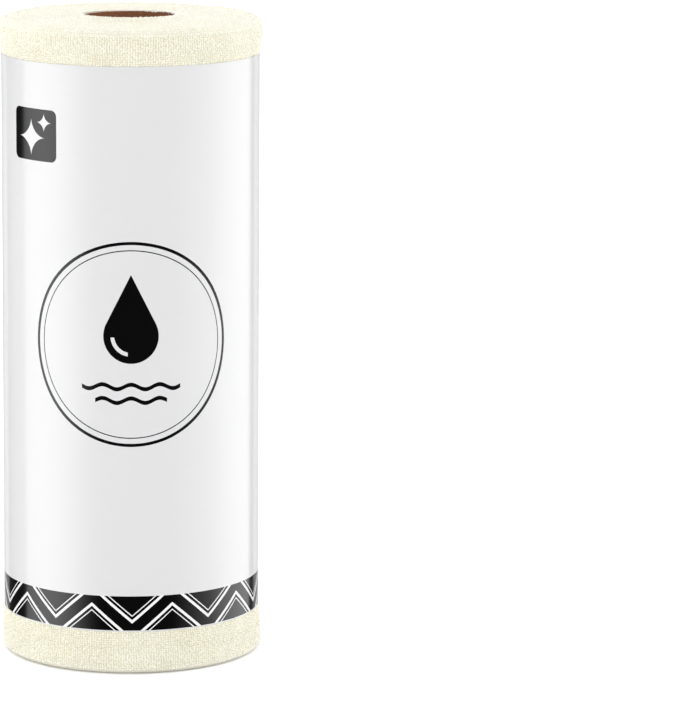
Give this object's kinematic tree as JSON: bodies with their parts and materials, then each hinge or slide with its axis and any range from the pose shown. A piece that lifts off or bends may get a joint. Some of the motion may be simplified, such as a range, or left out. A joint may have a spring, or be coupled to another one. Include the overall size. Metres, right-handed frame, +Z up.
{
  "type": "microfiber cloth roll",
  "caption": "Standing roll of cream terry microfiber cloth wound on an open cardboard core and held by a tight glossy white paper sleeve with a black zigzag band.",
  "frame": {"origin": "centre of the end that the roll stands on, on the floor", "axes": "+Z up along the core, front of the label towards -Y"},
  "size_m": [0.125, 0.1238, 0.305],
  "materials": {
    "cloth": "matte",
    "core_board": "matte",
    "sleeve_paper": "gloss"
  },
  "bodies": {
    "root": {"cloth_roll": "cloth", "core_tube": "core_board", "label_sleeve": "sleeve_paper"}
  },
  "joints": []
}
